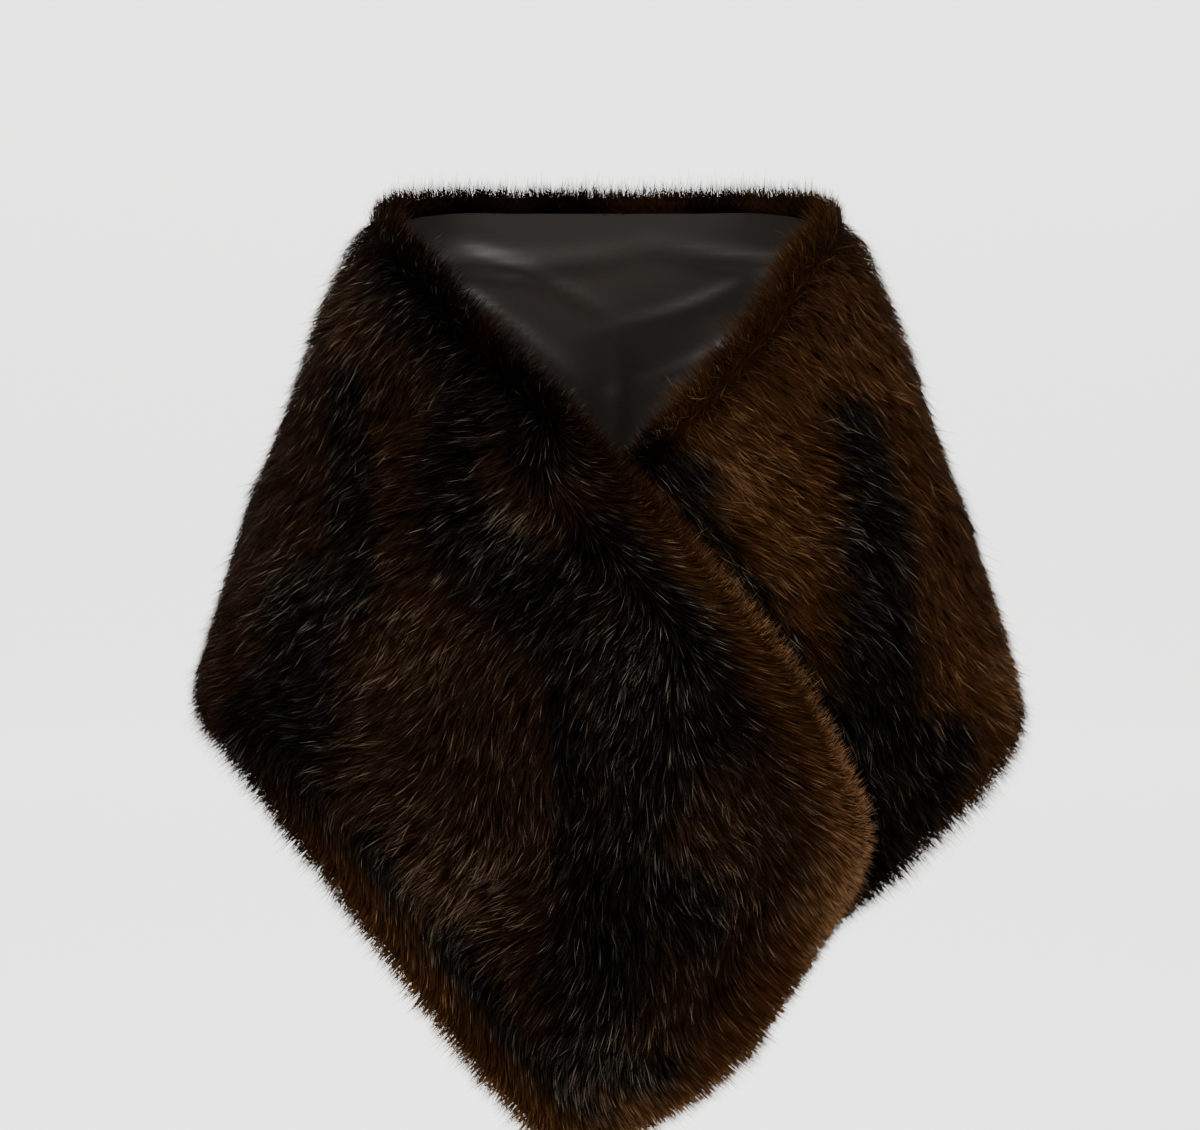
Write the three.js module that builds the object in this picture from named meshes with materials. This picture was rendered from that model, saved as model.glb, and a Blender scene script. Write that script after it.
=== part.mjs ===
// A wide fur stole with a satin lining, worn low round the shoulders and crossed at the front.
// Millimetres, +Z up. +X is the wearer's left, +Y runs to the wearer's back, and the origin
// lies between the shoulders, where the wearer holds the wrap up.
//
// The band is described twice. Its cut is flat: `along` runs from the middle of the back
// towards either end (positive to the outer end, negative to the under end), and `across`
// runs from the rim at 0 to the hem at 1. Its place on the wearer is given by `turn`, the
// angle round a general figure from the middle of the back, and a height.
import * as THREE from 'three';

// Driving dimensions of the cut
const bandWidth = 500;
const seamAlong = 250;
const seamGap = 0.3;

// Driving dimensions of the layers, counted outwards from the figure
const liningThickness = 1.2;
const furInside = 1.5;
const pileDepth = 28;
const rimPile = 31;
const edgeHalfWidth = 2.5;
const roundingRun = 16.5;
const edgeCurl = 2.5;
const edgeTolerance = 0.01;

// The pile stands fuller in a roll along the rim, and the roll widens where the ends cross
const rimRoll = { full: 20, gone: 70 };
const crossingRoll = { full: 40, gone: 95, start: 660, stop: 760 };

// The outer end steps up over the under end, which lies flat beneath it
const layerStep = 31.5;
const outerStep = { start: 478, stop: 612, slant: 90 };
const hiddenUnder = { start: 530, stop: 590, slant: 170 };

// The general figure: a level for each row, with its half width and its depth to the back
// and to the front. Roundness 2 is an ellipse, and more is squarer.
const figureRoundness = 2.3;
const figureLevels = [
  { height: 70, halfWidth: 190, back: 108, front: 50 },
  { height: 12, halfWidth: 205, back: 118, front: 68 },
  { height: -40, halfWidth: 234, back: 126, front: 90 },
  { height: -100, halfWidth: 261, back: 133, front: 112 },
  { height: -200, halfWidth: 295, back: 143, front: 131 },
  { height: -300, halfWidth: 331, back: 151, front: 138 },
  { height: -400, halfWidth: 366, back: 159, front: 138 },
  { height: -470, halfWidth: 386, back: 164, front: 136 },
  { height: -600, halfWidth: 420, back: 170, front: 132 },
  { height: -940, halfWidth: 440, back: 180, front: 124 },
];

// Where the cut lies on the figure: a row for each cross line, from the middle of the back
const outerHalf = [
  { along: 0, rimTurn: 0, rimHeight: 42, hemTurn: 0, hemHeight: -458 },
  { along: 90, rimTurn: 25, rimHeight: 42, hemTurn: 13, hemHeight: -458 },
  { along: 180, rimTurn: 51, rimHeight: 41, hemTurn: 25, hemHeight: -458 },
  { along: 270, rimTurn: 86, rimHeight: 27, hemTurn: 39, hemHeight: -459 },
  { along: 360, rimTurn: 130, rimHeight: -13, hemTurn: 56, hemHeight: -460 },
  { along: 450, rimTurn: 151, rimHeight: -71, hemTurn: 79, hemHeight: -463 },
  { along: 540, rimTurn: 166, rimHeight: -132, hemTurn: 104, hemHeight: -482 },
  { along: 630, rimTurn: 178, rimHeight: -192, hemTurn: 127, hemHeight: -530 },
  { along: 720, rimTurn: 189, rimHeight: -258, hemTurn: 140, hemHeight: -593 },
  { along: 810, rimTurn: 198, rimHeight: -326, hemTurn: 149, hemHeight: -663 },
  { along: 900, rimTurn: 206, rimHeight: -400, hemTurn: 157, hemHeight: -738 },
  { along: 990, rimTurn: 211, rimHeight: -482, hemTurn: 165, hemHeight: -814 },
  { along: 1080, rimTurn: 215, rimHeight: -570, hemTurn: 173, hemHeight: -876 },
  { along: 1170, rimTurn: 222, rimHeight: -646, hemTurn: 181, hemHeight: -916 },
];
const underHalf = [
  { along: 0, rimTurn: 0, rimHeight: 42, hemTurn: 0, hemHeight: -458 },
  { along: 90, rimTurn: 25, rimHeight: 42, hemTurn: 13, hemHeight: -458 },
  { along: 180, rimTurn: 52, rimHeight: 41, hemTurn: 25, hemHeight: -458 },
  { along: 270, rimTurn: 88, rimHeight: 26, hemTurn: 39, hemHeight: -460 },
  { along: 360, rimTurn: 129, rimHeight: -11, hemTurn: 55, hemHeight: -463 },
  { along: 450, rimTurn: 150, rimHeight: -80, hemTurn: 77, hemHeight: -473 },
  { along: 540, rimTurn: 164, rimHeight: -145, hemTurn: 102, hemHeight: -498 },
  { along: 630, rimTurn: 177, rimHeight: -207, hemTurn: 125, hemHeight: -550 },
  { along: 720, rimTurn: 188, rimHeight: -270, hemTurn: 140, hemHeight: -612 },
  { along: 810, rimTurn: 196, rimHeight: -339, hemTurn: 150, hemHeight: -672 },
  { along: 900, rimTurn: 202, rimHeight: -415, hemTurn: 157, hemHeight: -738 },
  { along: 990, rimTurn: 206, rimHeight: -498, hemTurn: 167, hemHeight: -787 },
  { along: 1080, rimTurn: 209, rimHeight: -575, hemTurn: 177, hemHeight: -820 },
];

// How far each rounded end reaches past the rim's own end
const outerRimLength = 1072;
const underRimLength = 990;
const endOutline = [
  { across: 0, reach: -16 },
  { across: 0.04, reach: 8 },
  { across: 0.1, reach: 24 },
  { across: 0.26, reach: 42 },
  { across: 0.45, reach: 68 },
  { across: 0.63, reach: 77 },
  { across: 0.8, reach: 66 },
  { across: 0.92, reach: 38 },
  { across: 1, reach: -4 },
];

// Soft creases and ridges of the cloth, each along a line of the cut. A height above 0 is a
// ridge of the whole wall, and one below 0 presses the pile alone into a trough.
const folds = [
  { from: [-180, 0.3], to: [-215, 1.02], halfWidth: 62, height: 13 },
  { from: [-40, 0.42], to: [-52, 1.02], halfWidth: 70, height: 15 },
  { from: [105, 0.34], to: [96, 1.02], halfWidth: 58, height: 12 },
  { from: [225, 0.5], to: [232, 1.02], halfWidth: 66, height: 16 },
  { from: [350, 0.6], to: [345, 1.02], halfWidth: 56, height: 8 },
  { from: [-335, 0.66], to: [-318, 1.02], halfWidth: 60, height: 10 },
  { from: [-600, 0.5], to: [-640, 1.02], halfWidth: 48, height: 7 },
  { from: [330, 0.085], to: [690, 0.075], halfWidth: 22, height: -8 },
  { from: [-330, 0.08], to: [-560, 0.09], halfWidth: 20, height: -7 },
  { from: [690, 0.16], to: [960, 0.21], halfWidth: 38, height: -9 },
  { from: [676, 0.2], to: [904, 0.59], halfWidth: 34, height: -10 },
  { from: [470, 0.24], to: [560, 0.62], halfWidth: 40, height: -8 },
  { from: [800, 0.62], to: [905, 0.86], halfWidth: 36, height: -7 },
  { from: [-430, 0.3], to: [-520, 0.72], halfWidth: 42, height: -8 },
  { from: [-610, 0.42], to: [-690, 0.8], halfWidth: 34, height: -6 },
];

// Grid steps: wide in the field, and close where a free edge is rounded. The lining starts
// at the last of the edge steps and shares the fur's points from there.
const edgeSteps = [0, 2.5, 7, 13, 22];
const fieldRows = 10;
const fieldStep = 25;

// A curve through every column of a table at once
function tableCurve(rows, key) {
  const columns = Object.keys(rows[0]).filter((name) => name !== key);
  const places = rows.map((row) => row[key]);
  const values = rows.flatMap((row) => columns.map((name) => row[name]));
  const curve = new THREE.CubicInterpolant(places, values, columns.length);
  return (place) => {
    const result = curve.evaluate(place);
    return Object.fromEntries(columns.map((name, index) => [name, result[index]]));
  };
}

const figureAt = tableCurve([...figureLevels].reverse(), 'height');
const outerAt = tableCurve(outerHalf, 'along');
const underAt = tableCurve(underHalf, 'along');
const endAt = tableCurve(endOutline, 'across');

function figurePoint(turn, height) {
  const { halfWidth, back, front } = figureAt(height);
  const angle = THREE.MathUtils.degToRad(turn);
  const sine = Math.sin(angle);
  const cosine = Math.cos(angle);
  const size = (Math.abs(sine) ** figureRoundness + Math.abs(cosine) ** figureRoundness)
    ** (-1 / figureRoundness);
  const depth = cosine > 0 ? back : front;
  return new THREE.Vector3(halfWidth * size * sine, depth * size * cosine, height);
}

function figureNormal(turn, height) {
  const step = 0.5;
  const round = figurePoint(turn + step, height).sub(figurePoint(turn - step, height));
  const up = figurePoint(turn, height + step).sub(figurePoint(turn, height - step));
  return up.cross(round).normalize();
}

// The turn and the height of a point of the cut
function wornPlace(along, across) {
  const row = along < 0 ? underAt(-along) : outerAt(along);
  const turn = THREE.MathUtils.lerp(row.rimTurn, row.hemTurn, across);
  const height = THREE.MathUtils.lerp(row.rimHeight, row.hemHeight, across);
  return { turn: along < 0 ? turn : -turn, height };
}

function foldHeight(along, across, sign) {
  const point = new THREE.Vector2(along, across * bandWidth);
  const nearest = new THREE.Vector2();
  let total = 0;
  for (const fold of folds) {
    if (Math.sign(fold.height) !== sign) continue;
    const start = new THREE.Vector2(fold.from[0], fold.from[1] * bandWidth);
    const line = new THREE.Vector2(fold.to[0], fold.to[1] * bandWidth).sub(start);
    const share = point.clone().sub(start).dot(line) / line.lengthSq();
    nearest.copy(start).addScaledVector(line, THREE.MathUtils.clamp(share, 0, 1));
    total += fold.height * Math.exp(-((point.distanceTo(nearest) / fold.halfWidth) ** 2) * 2);
  }
  return total;
}

// How far the whole wall stands off the figure
function wallLift(along, across) {
  const place = along - outerStep.slant * across;
  const step = THREE.MathUtils.smoothstep(place, outerStep.start, outerStep.stop);
  return layerStep * step + foldHeight(along, across, 1);
}

function bandPoint(along, across, offset) {
  const { turn, height } = wornPlace(along, across);
  const point = figurePoint(turn, height);
  return point.addScaledVector(figureNormal(turn, height), offset + wallLift(along, across));
}

function halfLength(along, across) {
  return (along < 0 ? underRimLength : outerRimLength) + endAt(across).reach;
}

// Distance to the nearest free edge, blended where two edges meet in a corner
function edgeDistance(along, across) {
  const distances = [
    across * bandWidth,
    (1 - across) * bandWidth,
    halfLength(along, across) - Math.abs(along),
  ];
  if (Math.min(...distances) < edgeTolerance) return 0;
  return distances.reduce((sum, distance) => sum + distance ** -3, 0) ** (-1 / 3);
}

function pileRoll(along, across) {
  const fade = ({ full, gone }) => 1 - THREE.MathUtils.smoothstep(across * bandWidth, full, gone);
  const crossing = THREE.MathUtils.smoothstep(along, crossingRoll.start, crossingRoll.stop);
  return Math.max(fade(rimRoll), fade(crossingRoll) * crossing);
}

// Offsets of the two faces of the fur wall, round at the free edges
function furFaces(along, across) {
  const edge = Math.min(edgeDistance(along, across) / roundingRun, 1);
  const round = Math.sqrt(1 - (1 - edge) ** 2);
  const hiddenPlace = -along - hiddenUnder.slant * across;
  const shown = 1 - THREE.MathUtils.smoothstep(hiddenPlace, hiddenUnder.start, hiddenUnder.stop);
  const middle = (pileDepth + (rimPile - pileDepth) * pileRoll(along, across) * shown) / 2;
  const half = edgeHalfWidth + (middle - edgeHalfWidth) * round;
  const trough = foldHeight(along, across, -1) * shown * round;
  return {
    inner: furInside + middle - half - edgeCurl * Math.sin(Math.PI * edge),
    outer: furInside + middle + half + trough,
  };
}

// A closed wall from two faces of the same grid, faces outwards
function wallGeometry(columns, rows, outerPoint, innerPoint) {
  const positions = [];
  const faces = [];
  const place = (layer, column, row) => (layer * columns + column) * rows + row;
  for (const pointAt of [outerPoint, innerPoint]) {
    for (let column = 0; column < columns; column += 1) {
      for (let row = 0; row < rows; row += 1) {
        positions.push(...pointAt(column, row).toArray());
      }
    }
  }
  const quad = (a, b, c, d) => faces.push(a, b, c, a, c, d);
  const flipped = (a, b, c, d) => quad(a, d, c, b);
  const lastColumn = columns - 1;
  const lastRow = rows - 1;
  for (let column = 0; column < lastColumn; column += 1) {
    for (let row = 0; row < lastRow; row += 1) {
      const corners = (layer) => [
        place(layer, column, row),
        place(layer, column, row + 1),
        place(layer, column + 1, row + 1),
        place(layer, column + 1, row),
      ];
      quad(...corners(0));
      flipped(...corners(1));
    }
  }
  const edge = (column, row, nextColumn, nextRow) => [
    place(0, column, row),
    place(1, column, row),
    place(1, nextColumn, nextRow),
    place(0, nextColumn, nextRow),
  ];
  for (let column = 0; column < lastColumn; column += 1) {
    flipped(...edge(column, 0, column + 1, 0));
    quad(...edge(column, lastRow, column + 1, lastRow));
  }
  for (let row = 0; row < lastRow; row += 1) {
    quad(...edge(0, row, 0, row + 1));
    flipped(...edge(lastColumn, row, lastColumn, row + 1));
  }
  const geometry = new THREE.BufferGeometry();
  geometry.setAttribute('position', new THREE.Float32BufferAttribute(positions, 3));
  geometry.setIndex(faces);
  geometry.computeVertexNormals();
  return geometry;
}

// Places from 0 to a length: close together by each rounded edge, even between
function spacedPlaces(length, fieldCount, roundStart, roundEnd) {
  const start = roundStart ? edgeSteps : [0];
  const end = roundEnd ? edgeSteps.map((step) => length - step).reverse() : [length];
  const first = start.at(-1);
  const field = Array.from(
    { length: fieldCount },
    (_, index) => first + ((end[0] - first) * (index + 1)) / (fieldCount + 1),
  );
  return [...start, ...field, ...end];
}

// A stretch of the band: where it starts and stops along the cut, and which ends are free
const stretches = {
  back: { start: -seamAlong + seamGap / 2, stop: seamAlong - seamGap / 2 },
  outer_front: { start: seamAlong + seamGap / 2, stop: outerRimLength, freeStop: true },
  under_front: { start: -underRimLength, stop: -seamAlong - seamGap / 2, freeStart: true },
};

function stretchGrid(stretch) {
  const length = stretch.stop - stretch.start;
  const count = Math.round(length / fieldStep);
  return {
    shares: spacedPlaces(length, count, stretch.freeStart, stretch.freeStop)
      .map((place) => place / length),
    acrosses: spacedPlaces(bandWidth, fieldRows, true, true).map((place) => place / bandWidth),
  };
}

function alongPlace(stretch, share, across) {
  const start = stretch.freeStart ? -halfLength(-1, across) : stretch.start;
  const stop = stretch.freeStop ? halfLength(1, across) : stretch.stop;
  return THREE.MathUtils.lerp(start, stop, share);
}

function furGeometry(stretch) {
  const { shares, acrosses } = stretchGrid(stretch);
  const pointOn = (face) => (column, row) => {
    const across = acrosses[row];
    const along = alongPlace(stretch, shares[column], across);
    return bandPoint(along, across, furFaces(along, across)[face]);
  };
  return wallGeometry(shares.length, acrosses.length, pointOn('outer'), pointOn('inner'));
}

function liningGeometry(stretch) {
  const { shares, acrosses } = stretchGrid(stretch);
  const skipped = edgeSteps.length - 1;
  const firstColumn = stretch.freeStart ? skipped : 0;
  const columns = shares.length - firstColumn - (stretch.freeStop ? skipped : 0);
  const pointOn = (offset) => (column, row) => {
    const across = acrosses[row + skipped];
    return bandPoint(alongPlace(stretch, shares[column + firstColumn], across), across, offset);
  };
  return wallGeometry(columns, acrosses.length - 2 * skipped, pointOn(liningThickness), pointOn(0));
}

const furMaterial = new THREE.MeshStandardMaterial({
  color: 0x2c190b, roughness: 0.8, metalness: 0,
});
const liningMaterial = new THREE.MeshStandardMaterial({
  color: 0x2a221d, roughness: 0.42, metalness: 0,
});

function pieceMesh(name, geometry, material) {
  const mesh = new THREE.Mesh(geometry, material);
  mesh.name = name;
  return mesh;
}

const wrap = new THREE.Group();
for (const [name, stretch] of Object.entries(stretches)) {
  wrap.add(pieceMesh(`fur_${name}`, furGeometry(stretch), furMaterial));
  wrap.add(pieceMesh(`lining_${name}`, liningGeometry(stretch), liningMaterial));
}

export default wrap;
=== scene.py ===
# %% [markdown]
# # A fur wrap with a satin lining
# The wrap is one wide band of long-pile fur with a satin lining. It lies round the shoulders
# and its ends cross at the front. The imported model gives its true walls. Here each wall is
# dressed: a dense underfur, a coat of single guard hairs, and a creased satin lining.

# %% Load the frame and keep its meshes
import math
from types import SimpleNamespace
import bpy
import numpy as np
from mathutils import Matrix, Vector


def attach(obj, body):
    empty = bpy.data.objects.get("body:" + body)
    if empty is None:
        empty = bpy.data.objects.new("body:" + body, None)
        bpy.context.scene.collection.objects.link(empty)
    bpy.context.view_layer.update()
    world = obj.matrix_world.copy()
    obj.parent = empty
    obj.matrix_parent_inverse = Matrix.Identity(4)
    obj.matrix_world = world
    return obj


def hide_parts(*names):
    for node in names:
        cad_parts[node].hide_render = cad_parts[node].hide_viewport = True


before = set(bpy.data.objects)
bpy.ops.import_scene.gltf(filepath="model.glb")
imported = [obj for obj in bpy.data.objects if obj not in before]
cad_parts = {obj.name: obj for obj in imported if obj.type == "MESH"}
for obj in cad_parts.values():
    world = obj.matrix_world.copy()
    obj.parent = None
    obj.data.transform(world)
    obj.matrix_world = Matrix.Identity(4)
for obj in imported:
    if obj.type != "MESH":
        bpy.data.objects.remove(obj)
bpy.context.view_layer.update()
print("pieces of the frame:", sorted(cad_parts))

# %% [markdown]
# ## The camera
# A long lens about three metres away looks slightly down on the front, as a shop photographer
# stands well back from clothes. It is made first.

# %% The camera
CAMERA_DISTANCE = 3.0
CAMERA_ELEVATION = math.radians(6)
LOOK_AT = Vector((-0.007, 0.0, -0.330))


def make_camera():
    """A camera in front of the wrap, level with its sides and tilted down a little."""
    data = bpy.data.cameras.new("front_camera")
    data.sensor_width = 36.0
    data.lens = 90.0
    camera = bpy.data.objects.new("front_camera", data)
    bpy.context.scene.collection.objects.link(camera)
    level = CAMERA_DISTANCE * math.cos(CAMERA_ELEVATION)
    rise = CAMERA_DISTANCE * math.sin(CAMERA_ELEVATION)
    camera.location = LOOK_AT + Vector((0.0, -level, rise))
    camera.rotation_euler = (math.radians(90) - CAMERA_ELEVATION, 0.0, 0.0)
    bpy.context.scene.camera = camera
    return camera


print("camera at", tuple(round(place, 3) for place in make_camera().location))

# %% [markdown]
# ## The cut and how it is worn
# Fur is easiest to grow where the cloth is flat. So the band is described by its cut: `along`
# runs from the middle of the back to either end, and `across` runs from the rim, 0, to the
# hem, 1. A cloth simulation could drape such a band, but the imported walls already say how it
# lies. So short tables say where each cross line of the cut lies on a general figure, by the
# angle round it and the height, in millimetres, as in the part's own source.

# %% Sizes and tables of the cut
METRE = 1000.0
BAND_WIDTH = 500.0
SEAM_ALONG = 250.0
SEAM_GAP = 0.3
OUTER_RIM_LENGTH = 1072.0
UNDER_RIM_LENGTH = 990.0
FIGURE_ROUNDNESS = 2.3
LAYER_STEP = 31.5
OUTER_STEP = {"start": 478.0, "stop": 612.0, "slant": 90.0}

# height, half width, depth to the back, depth to the front
FIGURE_LEVELS = np.array([
    (-940, 440, 180, 124),
    (-600, 420, 170, 132),
    (-470, 386, 164, 136),
    (-400, 366, 159, 138),
    (-300, 331, 151, 138),
    (-200, 295, 143, 131),
    (-100, 261, 133, 112),
    (-40, 234, 126, 90),
    (12, 205, 118, 68),
    (70, 190, 108, 50),
], float)

# along, turn of the rim, height of the rim, turn of the hem, height of the hem
OUTER_HALF = np.array([
    (0, 0, 42, 0, -458),
    (90, 25, 42, 13, -458),
    (180, 51, 41, 25, -458),
    (270, 86, 27, 39, -459),
    (360, 130, -13, 56, -460),
    (450, 151, -71, 79, -463),
    (540, 166, -132, 104, -482),
    (630, 178, -192, 127, -530),
    (720, 189, -258, 140, -593),
    (810, 198, -326, 149, -663),
    (900, 206, -400, 157, -738),
    (990, 211, -482, 165, -814),
    (1080, 215, -570, 173, -876),
    (1170, 222, -646, 181, -916),
], float)
UNDER_HALF = np.array([
    (0, 0, 42, 0, -458),
    (90, 25, 42, 13, -458),
    (180, 52, 41, 25, -458),
    (270, 88, 26, 39, -460),
    (360, 129, -11, 55, -463),
    (450, 150, -80, 77, -473),
    (540, 164, -145, 102, -498),
    (630, 177, -207, 125, -550),
    (720, 188, -270, 140, -612),
    (810, 196, -339, 150, -672),
    (900, 202, -415, 157, -738),
    (990, 206, -498, 167, -787),
    (1080, 209, -575, 177, -820),
], float)

# across, how far the rounded end reaches past the rim's own end
END_OUTLINE = np.array([
    (0, -16),
    (0.04, 8),
    (0.1, 24),
    (0.26, 42),
    (0.45, 68),
    (0.63, 77),
    (0.8, 66),
    (0.92, 38),
    (1, -4),
], float)


# %% A smooth curve through the columns of a table
def table_curve(table, places):
    """Hermite curves through every column, with the mean slope of each row's two neighbours."""
    keys = table[:, 0]
    values = table[:, 1:]
    secants = np.diff(values, axis=0) / np.diff(keys)[:, None]
    slopes = np.vstack([secants[:1], (secants[1:] + secants[:-1]) / 2, secants[-1:]])
    row = np.clip(np.searchsorted(keys, places, side="right") - 1, 0, len(keys) - 2)
    width = (keys[row + 1] - keys[row])[:, None]
    share = ((places - keys[row])[:, None]) / width
    first = (1 + 2 * share) * (1 - share) ** 2
    first_slope = share * (1 - share) ** 2
    last = share ** 2 * (3 - 2 * share)
    last_slope = share ** 2 * (share - 1)
    return (first * values[row] + first_slope * width * slopes[row]
            + last * values[row + 1] + last_slope * width * slopes[row + 1])


def smooth_step(values, start, stop):
    """From 0 at the start to 1 at the stop, softly."""
    share = np.clip((values - start) / (stop - start), 0, 1)
    return share * share * (3 - 2 * share)


top_sizes = table_curve(FIGURE_LEVELS, np.zeros(1))[0]
print("half width and depths at the shoulders, mm:", np.round(top_sizes, 1).tolist())


# %% Points of the worn band
TINY = 1e-9


def figure_point(turn, height):
    """Places on the figure: a rounded box at each height, in millimetres."""
    half_width, back, front = table_curve(FIGURE_LEVELS, height).T
    sine = np.sin(np.radians(turn))
    cosine = np.cos(np.radians(turn))
    size = (np.abs(sine) ** FIGURE_ROUNDNESS + np.abs(cosine) ** FIGURE_ROUNDNESS)
    size = size ** (-1 / FIGURE_ROUNDNESS)
    depth = np.where(cosine > 0, back, front)
    return np.stack([half_width * size * sine, depth * size * cosine, height], axis=1)


def unit(vectors):
    """The same directions with a length of 1."""
    return vectors / np.maximum(np.linalg.norm(vectors, axis=1, keepdims=True), TINY)


def figure_normal(turn, height):
    """The direction straight out of the figure."""
    step = 0.5
    round_it = figure_point(turn + step, height) - figure_point(turn - step, height)
    up_it = figure_point(turn, height + step) - figure_point(turn, height - step)
    return unit(np.cross(up_it, round_it))


def worn_place(along, across):
    """The turn and the height, in degrees and millimetres, of places on the cut."""
    outer = table_curve(OUTER_HALF, np.abs(along))
    under = table_curve(UNDER_HALF, np.minimum(np.abs(along), UNDER_HALF[-1, 0]))
    row = np.where((along < 0)[:, None], under, outer)
    rim_turn, rim_height, hem_turn, hem_height = row.T
    turn = rim_turn + (hem_turn - rim_turn) * across
    height = rim_height + (hem_height - rim_height) * across
    return np.where(along < 0, turn, -turn), height


# %% [markdown]
# ## Folds
# Few creases show in fur this deep, but they steer the light: the hollow beside the roll
# along the rim and the crossing edge, and soft flutes where the hem flares behind. They could
# be sculpted, but a line of the cut with a width and a height, fading to both sides, is easy to
# move and gives the same fold each time. Ridges lift the whole wall, and troughs press in only
# the outer face of the pile.

# %% Folds of the cloth
# from (along, across), to (along, across), half width, height
RIDGES = [
    ((-180, 0.3), (-215, 1.02), 62, 13),
    ((-40, 0.42), (-52, 1.02), 70, 15),
    ((105, 0.34), (96, 1.02), 58, 12),
    ((225, 0.5), (232, 1.02), 66, 16),
    ((350, 0.6), (345, 1.02), 56, 8),
    ((-335, 0.66), (-318, 1.02), 60, 10),
    ((-600, 0.5), (-640, 1.02), 48, 7),
]
TROUGHS = [
    ((330, 0.085), (690, 0.075), 22, -8),
    ((-330, 0.08), (-560, 0.09), 20, -7),
    ((690, 0.16), (960, 0.21), 38, -9),
    ((676, 0.2), (904, 0.59), 34, -10),
    ((470, 0.24), (560, 0.62), 40, -8),
    ((800, 0.62), (905, 0.86), 36, -7),
    ((-430, 0.3), (-520, 0.72), 42, -8),
    ((-610, 0.42), (-690, 0.8), 34, -6),
]


def along_line(along, across, start, stop):
    """The share of a line on the cut that is nearest to each place, the line and the way off it."""
    point = np.stack([along, across * BAND_WIDTH], axis=1)
    start = np.array([start[0], start[1] * BAND_WIDTH])
    line = np.array([stop[0], stop[1] * BAND_WIDTH]) - start
    share = np.clip((point - start) @ line / (line @ line), 0, 1)
    return share, line, point - start - share[:, None] * line


def fold_height(folds, along, across):
    """The summed height of straight folds, each fading to both sides."""
    total = np.zeros(len(along))
    for start, stop, half_width, height in folds:
        _, _, away = along_line(along, across, start, stop)
        distance = np.linalg.norm(away, axis=1)
        total += height * np.exp(-2 * (distance / half_width) ** 2)
    return total


def band_point(along, across, offset):
    """Points in metres, at an offset in millimetres outwards from the figure."""
    turn, height = worn_place(along, across)
    place = along - OUTER_STEP["slant"] * across
    lift = LAYER_STEP * smooth_step(place, OUTER_STEP["start"], OUTER_STEP["stop"])
    lift = lift + fold_height(RIDGES, along, across)
    point = figure_point(turn, height) + figure_normal(turn, height) * (offset + lift)[:, None]
    return point / METRE


def half_length(side, across):
    """How far the cut reaches from the middle of the back, by the side it lies on."""
    rim_length = np.where(side < 0, UNDER_RIM_LENGTH, OUTER_RIM_LENGTH)
    return rim_length + table_curve(END_OUTLINE, across)[:, 0]


def edge_distance(along, across):
    """Distance in millimetres to the nearest free edge, blended in the corners."""
    distances = np.stack([
        across * BAND_WIDTH,
        (1 - across) * BAND_WIDTH,
        half_length(along, across) - np.abs(along),
    ])
    return np.sum(np.maximum(distances, 0.01) ** -3.0, axis=0) ** (-1 / 3)


def surface_axes(along, across, offset):
    """The directions along and across the cut, and outwards, at points of the worn band."""
    step = 2.0
    tiny = step / BAND_WIDTH
    along_axis = unit(band_point(along + step, across, offset)
                      - band_point(along - step, across, offset))
    across_axis = unit(band_point(along, across + tiny, offset)
                       - band_point(along, across - tiny, offset))
    outwards = unit(np.cross(across_axis, along_axis))
    return along_axis, across_axis, outwards


rim_places = np.array([0.0, 630.0, -630.0])
print("rim points:", np.round(band_point(rim_places, np.zeros(3), np.zeros(3)), 3).tolist())

# %% [markdown]
# ## Shaders as expressions
# Every colour below is a short sum or blend, so one small class lets shader sockets be added,
# multiplied and mixed like numbers. It keeps the recipes readable as formulas.

# %% Shader values that add and multiply
class Shade:
    """One output socket of a material, with the usual arithmetic."""

    def __init__(self, recipe, socket):
        self.recipe = recipe
        self.socket = socket

    def _math(self, operation, first, second):
        settings = {"operation": operation}
        return self.recipe.node("ShaderNodeMath", settings, {0: first, 1: second})

    def __add__(self, other):
        return self._math("ADD", self, other)

    __radd__ = __add__

    def __mul__(self, other):
        return self._math("MULTIPLY", self, other)

    __rmul__ = __mul__

    def __pow__(self, other):
        return self._math("POWER", self, other)


class Recipe:
    """A material whose nodes are made one by one from a type, settings and inputs."""

    def __init__(self, name):
        self.material = bpy.data.materials.new(name)
        self.material.use_nodes = True
        self.tree = self.material.node_tree
        self.tree.nodes.clear()

    def node(self, kind, settings=None, inputs=None, output=0):
        """Adds a node with its settings and the values or links of its sockets."""
        made = self.tree.nodes.new(kind)
        for key, value in (settings or {}).items():
            setattr(made, key, value)
        for key, value in (inputs or {}).items():
            if isinstance(value, Shade):
                self.tree.links.new(value.socket, made.inputs[key])
            else:
                made.inputs[key].default_value = value
        return Shade(self, made.outputs[output])

    def mix(self, share, first, second):
        """A colour between two colours."""
        settings = {"data_type": "RGBA"}
        return self.node("ShaderNodeMix", settings, {0: share, 6: first, 7: second}, output=2)

    def dim(self, colour, factor):
        """A colour times a number."""
        return self.node("ShaderNodeVectorMath", {"operation": "SCALE"}, {0: colour, 3: factor})

    def ramp(self, value, start, stop):
        """From 0 at the start to 1 at the stop, softly."""
        settings = {"interpolation_type": "SMOOTHSTEP"}
        return self.node("ShaderNodeMapRange", settings, {0: value, 1: start, 2: stop})

    def finish(self, **inputs):
        """Closes the recipe with one surface, whose inputs are given by name."""
        named = {key.replace("_", " "): value for key, value in inputs.items()}
        surface = self.node("ShaderNodeBsdfPrincipled", None, named)
        result = self.tree.nodes.new("ShaderNodeOutputMaterial")
        self.tree.links.new(surface.socket, result.inputs["Surface"])
        return self.material
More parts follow.
